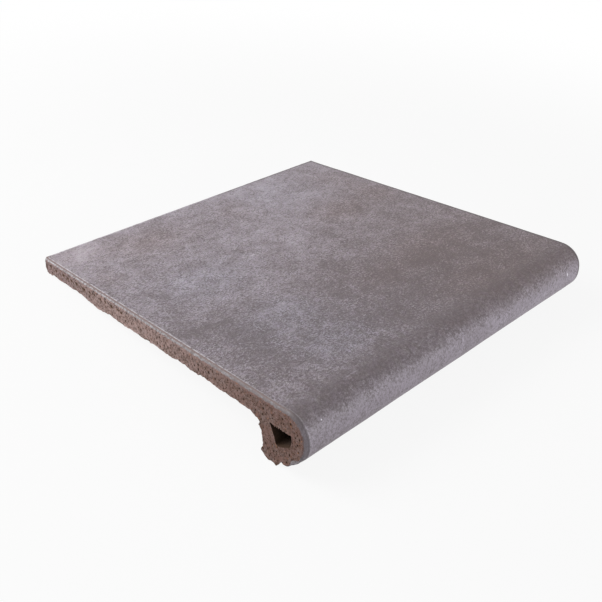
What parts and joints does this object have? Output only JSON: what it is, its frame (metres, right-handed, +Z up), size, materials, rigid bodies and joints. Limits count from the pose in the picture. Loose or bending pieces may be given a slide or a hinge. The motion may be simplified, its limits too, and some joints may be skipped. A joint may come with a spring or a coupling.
{
  "type": "stair tread tile",
  "caption": "Extruded ceramic stair tread with a rounded, hollow nosing that turns down as a drip lip, grey matt glaze on top and bare clay cut ends.",
  "frame": {"origin": "centre of the bounding box at the floor, with the tread lying free on the heel of its lip and its back edge", "axes": "+X along the nosing, +Y from the nosing to the back edge, +Z up from the floor; the walking face leans back by 7.25 degrees"},
  "size_m": [0.325, 0.33, 0.0538],
  "materials": {
    "fired_clay": "mottled matt grey glaze over red-brown clay, bare on the cut ends and underside"
  },
  "bodies": {
    "root": {"tread_tile": "fired_clay"}
  },
  "joints": []
}
